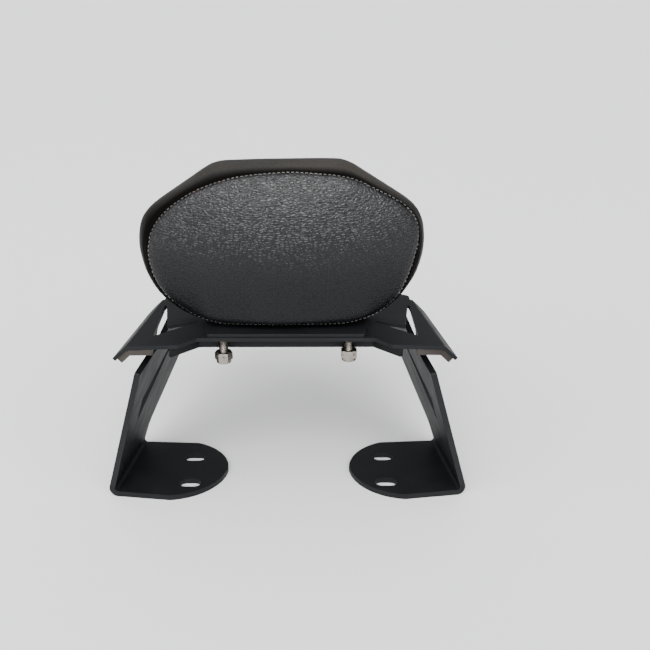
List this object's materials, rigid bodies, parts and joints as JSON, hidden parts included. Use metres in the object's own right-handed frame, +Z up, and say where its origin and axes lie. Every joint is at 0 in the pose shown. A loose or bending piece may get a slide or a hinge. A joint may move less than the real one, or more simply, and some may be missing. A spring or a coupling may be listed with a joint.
{
  "type": "luggage rack with backrest",
  "caption": "Black steel luggage rack for a motorcycle's tail, with folded side brackets on slotted feet and a padded backrest cushion on the front of its deck.",
  "frame": {"origin": "under the middle of the rack, on the plane that the feet stand on", "axes": "+X to the rack's right, +Y to the rear, +Z up; the cushion's front looks along -Y"},
  "size_m": [0.3212, 0.2452, 0.301],
  "materials": {
    "black_coat": "fine textured black powder coat",
    "bright_steel": "bright stainless",
    "screw_steel": "black oxide",
    "nylon": "dark nylon",
    "strip": "pale brown, matt",
    "leatherette": "grained black leatherette",
    "board": "dark painted board"
  },
  "bodies": {
    "root": {"backboard": "board", "backrest_bracket": "black_coat", "cushion": "leatherette", "cushion_screw_1": "screw_steel", "cushion_screw_2": "screw_steel", "cushion_screw_3": "screw_steel", "cushion_screw_4": "screw_steel", "cushion_washer_1": "bright_steel", "cushion_washer_2": "bright_steel", "cushion_washer_3": "bright_steel", "cushion_washer_4": "bright_steel", "front_stiffener": "black_coat", "nut_insert_left": "nylon", "nut_insert_right": "nylon", "nut_left": "bright_steel", "nut_right": "bright_steel", "side_bracket_left": "black_coat", "side_bracket_right": "black_coat", "stud_left": "bright_steel", "stud_right": "bright_steel", "tee_nut_1": "bright_steel", "tee_nut_2": "bright_steel", "tee_nut_3": "bright_steel", "tee_nut_4": "bright_steel", "top_plate": "black_coat", "weld_front_left": "black_coat", "weld_front_right": "black_coat", "weld_middle_left": "black_coat", "weld_middle_right": "black_coat", "weld_rear_left": "black_coat", "weld_rear_right": "black_coat", "wing_strip_left": "strip", "wing_strip_right": "strip"}
  },
  "joints": []
}
